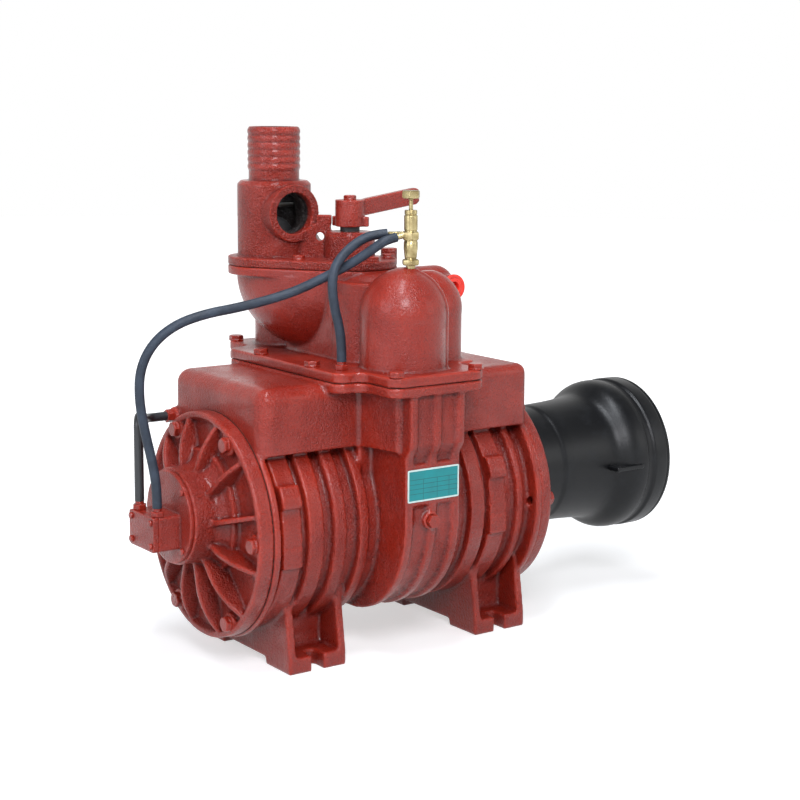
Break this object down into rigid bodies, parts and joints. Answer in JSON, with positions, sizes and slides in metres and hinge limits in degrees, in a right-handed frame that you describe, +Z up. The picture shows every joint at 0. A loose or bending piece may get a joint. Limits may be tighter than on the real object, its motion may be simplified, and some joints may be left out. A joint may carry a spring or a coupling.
{
  "type": "vacuum pump",
  "caption": "Rotary vane vacuum pump for a tanker: ribbed casing with oil tanks, finned end cover, changeover valve head, oil lines and a guard cone over the splined drive shaft.",
  "frame": {"origin": "centre of the four foot slots, on the plane that the feet stand on", "axes": "+X along the drive shaft towards its splined end, +Z up, -Y the side with the drip regulator"},
  "size_m": [0.8765, 0.447, 0.737],
  "materials": {
    "cast_red": "gloss brick-red paint on a cast surface",
    "steel": "dull plated",
    "bright_steel": "ground",
    "brass": "turned",
    "gasket": "matte",
    "rotor_iron": "machined",
    "vane_composite": "matte",
    "seal_rubber": "matte",
    "black_plastic": "satin",
    "red_plastic": "gloss",
    "black_steel": "satin black",
    "hose_rubber": "satin"
  },
  "bodies": {
    "pump": {"stator_casing": "cast_red", "rear_cover": "cast_red", "front_cover": "cast_red", "manifold": "cast_red", "changeover_head": "cast_red", "oil_pump_body": "cast_red", "oil_pump_cover": "cast_red", "rear_cover_bolts": "cast_red", "front_cover_bolts": "cast_red", "manifold_bolts": "cast_red", "head_bolts": "cast_red", "oil_pump_screws": "cast_red", "pump_plate_screws": "cast_red", "drain_plug": "cast_red", "rear_cover_gasket": "gasket", "front_cover_gasket": "gasket", "manifold_gasket": "gasket", "head_gasket": "gasket", "rear_bearing_outer": "bright_steel", "rear_bearing_rollers": "bright_steel", "front_bearing_outer": "bright_steel", "front_bearing_rollers": "bright_steel", "rear_shaft_seal": "seal_rubber", "front_shaft_seal": "seal_rubber", "stem_seal": "seal_rubber", "guard_cone": "black_plastic", "guard_screws": "steel", "idler_pin": "bright_steel", "ball_stop": "steel", "regulator_body": "brass", "hose_nipples": "steel", "pipe_unions": "steel", "suction_pipe": "black_steel", "rear_oil_hose": "hose_rubber", "manifold_oil_hose": "hose_rubber"},
    "rotor": {"drive_shaft": "bright_steel", "rotor": "rotor_iron", "vanes": "vane_composite", "rear_bearing_inner": "bright_steel", "front_bearing_inner": "bright_steel", "drive_gear": "bright_steel"},
    "idler": {"idler_gear": "bright_steel"},
    "lever": {"changeover_plug": "steel", "changeover_lever": "cast_red", "lever_bolt": "cast_red"},
    "regulator_screw": {"regulator_knob": "brass"},
    "ball": {"non_return_ball": "seal_rubber"},
    "cap": {"exhaust_cap": "red_plastic"}
  },
  "joints": [
    {"name": "rotor_spin", "type": "hinge", "parent": "pump", "child": "rotor", "pos_m": [0, 0, 0.213], "axis": [1, 0, 0], "continuous": true},
    {"name": "idler_spin", "type": "hinge", "parent": "pump", "child": "idler", "pos_m": [-0.344, -0.015, 0.213], "axis": [1, 0, 0], "continuous": true},
    {"name": "lever_turn", "type": "hinge", "parent": "pump", "child": "lever", "pos_m": [-0.026, 0, 0.6], "axis": [0, 0, 1], "range_deg": [-90, 0]},
    {"name": "regulator_turn", "type": "hinge", "parent": "pump", "child": "regulator_screw", "pos_m": [-0.028, -0.153, 0.64], "axis": [0, 0, 1], "continuous": true},
    {"name": "ball_lift", "type": "slide", "parent": "pump", "child": "ball", "axis": [0, 0, 1], "range_m": [0, 0.012]},
    {"name": "cap_pull", "type": "slide", "parent": "pump", "child": "cap", "axis": [0, -1, 0], "range_m": [0, 0.03]}
  ],
  "couplings": [
    {"joint": "idler_spin", "follows": "rotor_spin", "ratio": -1}
  ]
}
